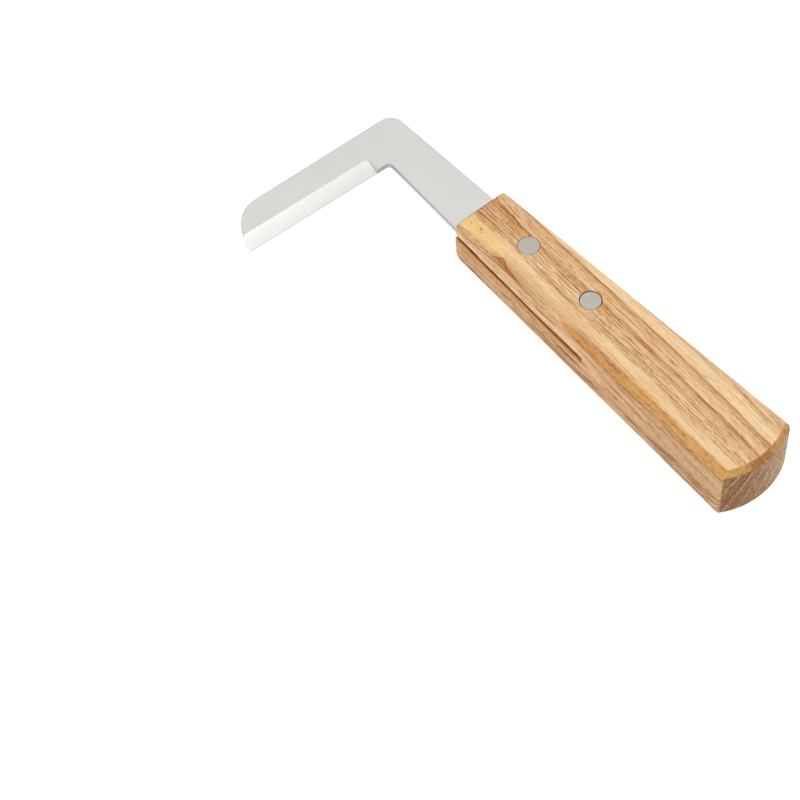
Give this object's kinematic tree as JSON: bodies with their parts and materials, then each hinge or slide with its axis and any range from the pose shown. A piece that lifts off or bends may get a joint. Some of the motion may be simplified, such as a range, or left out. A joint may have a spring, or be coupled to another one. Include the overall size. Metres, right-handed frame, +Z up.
{
  "type": "hoof trimming tool",
  "caption": "Hand tool with a flat L-shaped steel blade, bevelled along one inner edge, riveted into the saw kerf of a tapered wooden handle.",
  "frame": {"origin": "on the handle's flat underside, half way along the handle and on its centre line", "axes": "+X from the butt towards the blade, +Y to the side the blade's arm reaches out to, +Z up from the underside to the bevelled face"},
  "size_m": [0.1594, 0.068, 0.0199],
  "materials": {
    "blade_steel": "satin ground flats, bright bevel",
    "handle_wood": "sanded, unstained, oiled ring-porous hardwood",
    "rivet_metal": "ground flush, matte"
  },
  "bodies": {
    "root": {"blade": "blade_steel", "handle": "handle_wood", "rivet_front": "rivet_metal", "rivet_rear": "rivet_metal"}
  },
  "joints": []
}
